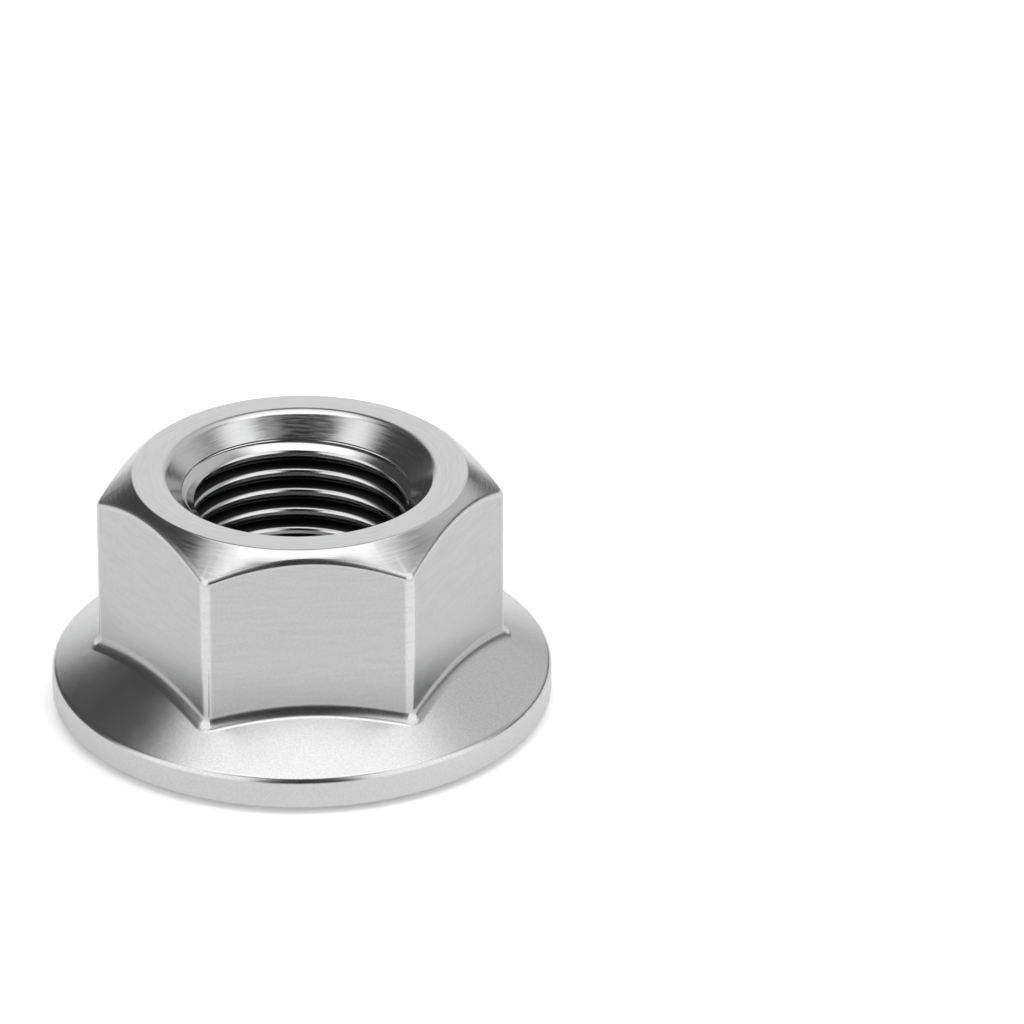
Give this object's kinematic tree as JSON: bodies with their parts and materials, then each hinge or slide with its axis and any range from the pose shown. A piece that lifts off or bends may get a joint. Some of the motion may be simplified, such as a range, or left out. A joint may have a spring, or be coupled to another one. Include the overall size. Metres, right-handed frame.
{
  "type": "serrated flange nut",
  "caption": "Hexagon nut with a fixed flange and curved serrations on its bearing face, in bright steel.",
  "frame": {"origin": "centre of the bearing face, in the plane on which the nut stands", "axes": "+Z along the thread axis, from the bearing face to the hexagon; +X through a corner of the hexagon"},
  "size_m": [0.034, 0.034, 0.017],
  "materials": {
    "steel": "satin"
  },
  "bodies": {
    "root": {"flange_nut": "steel"}
  },
  "joints": []
}
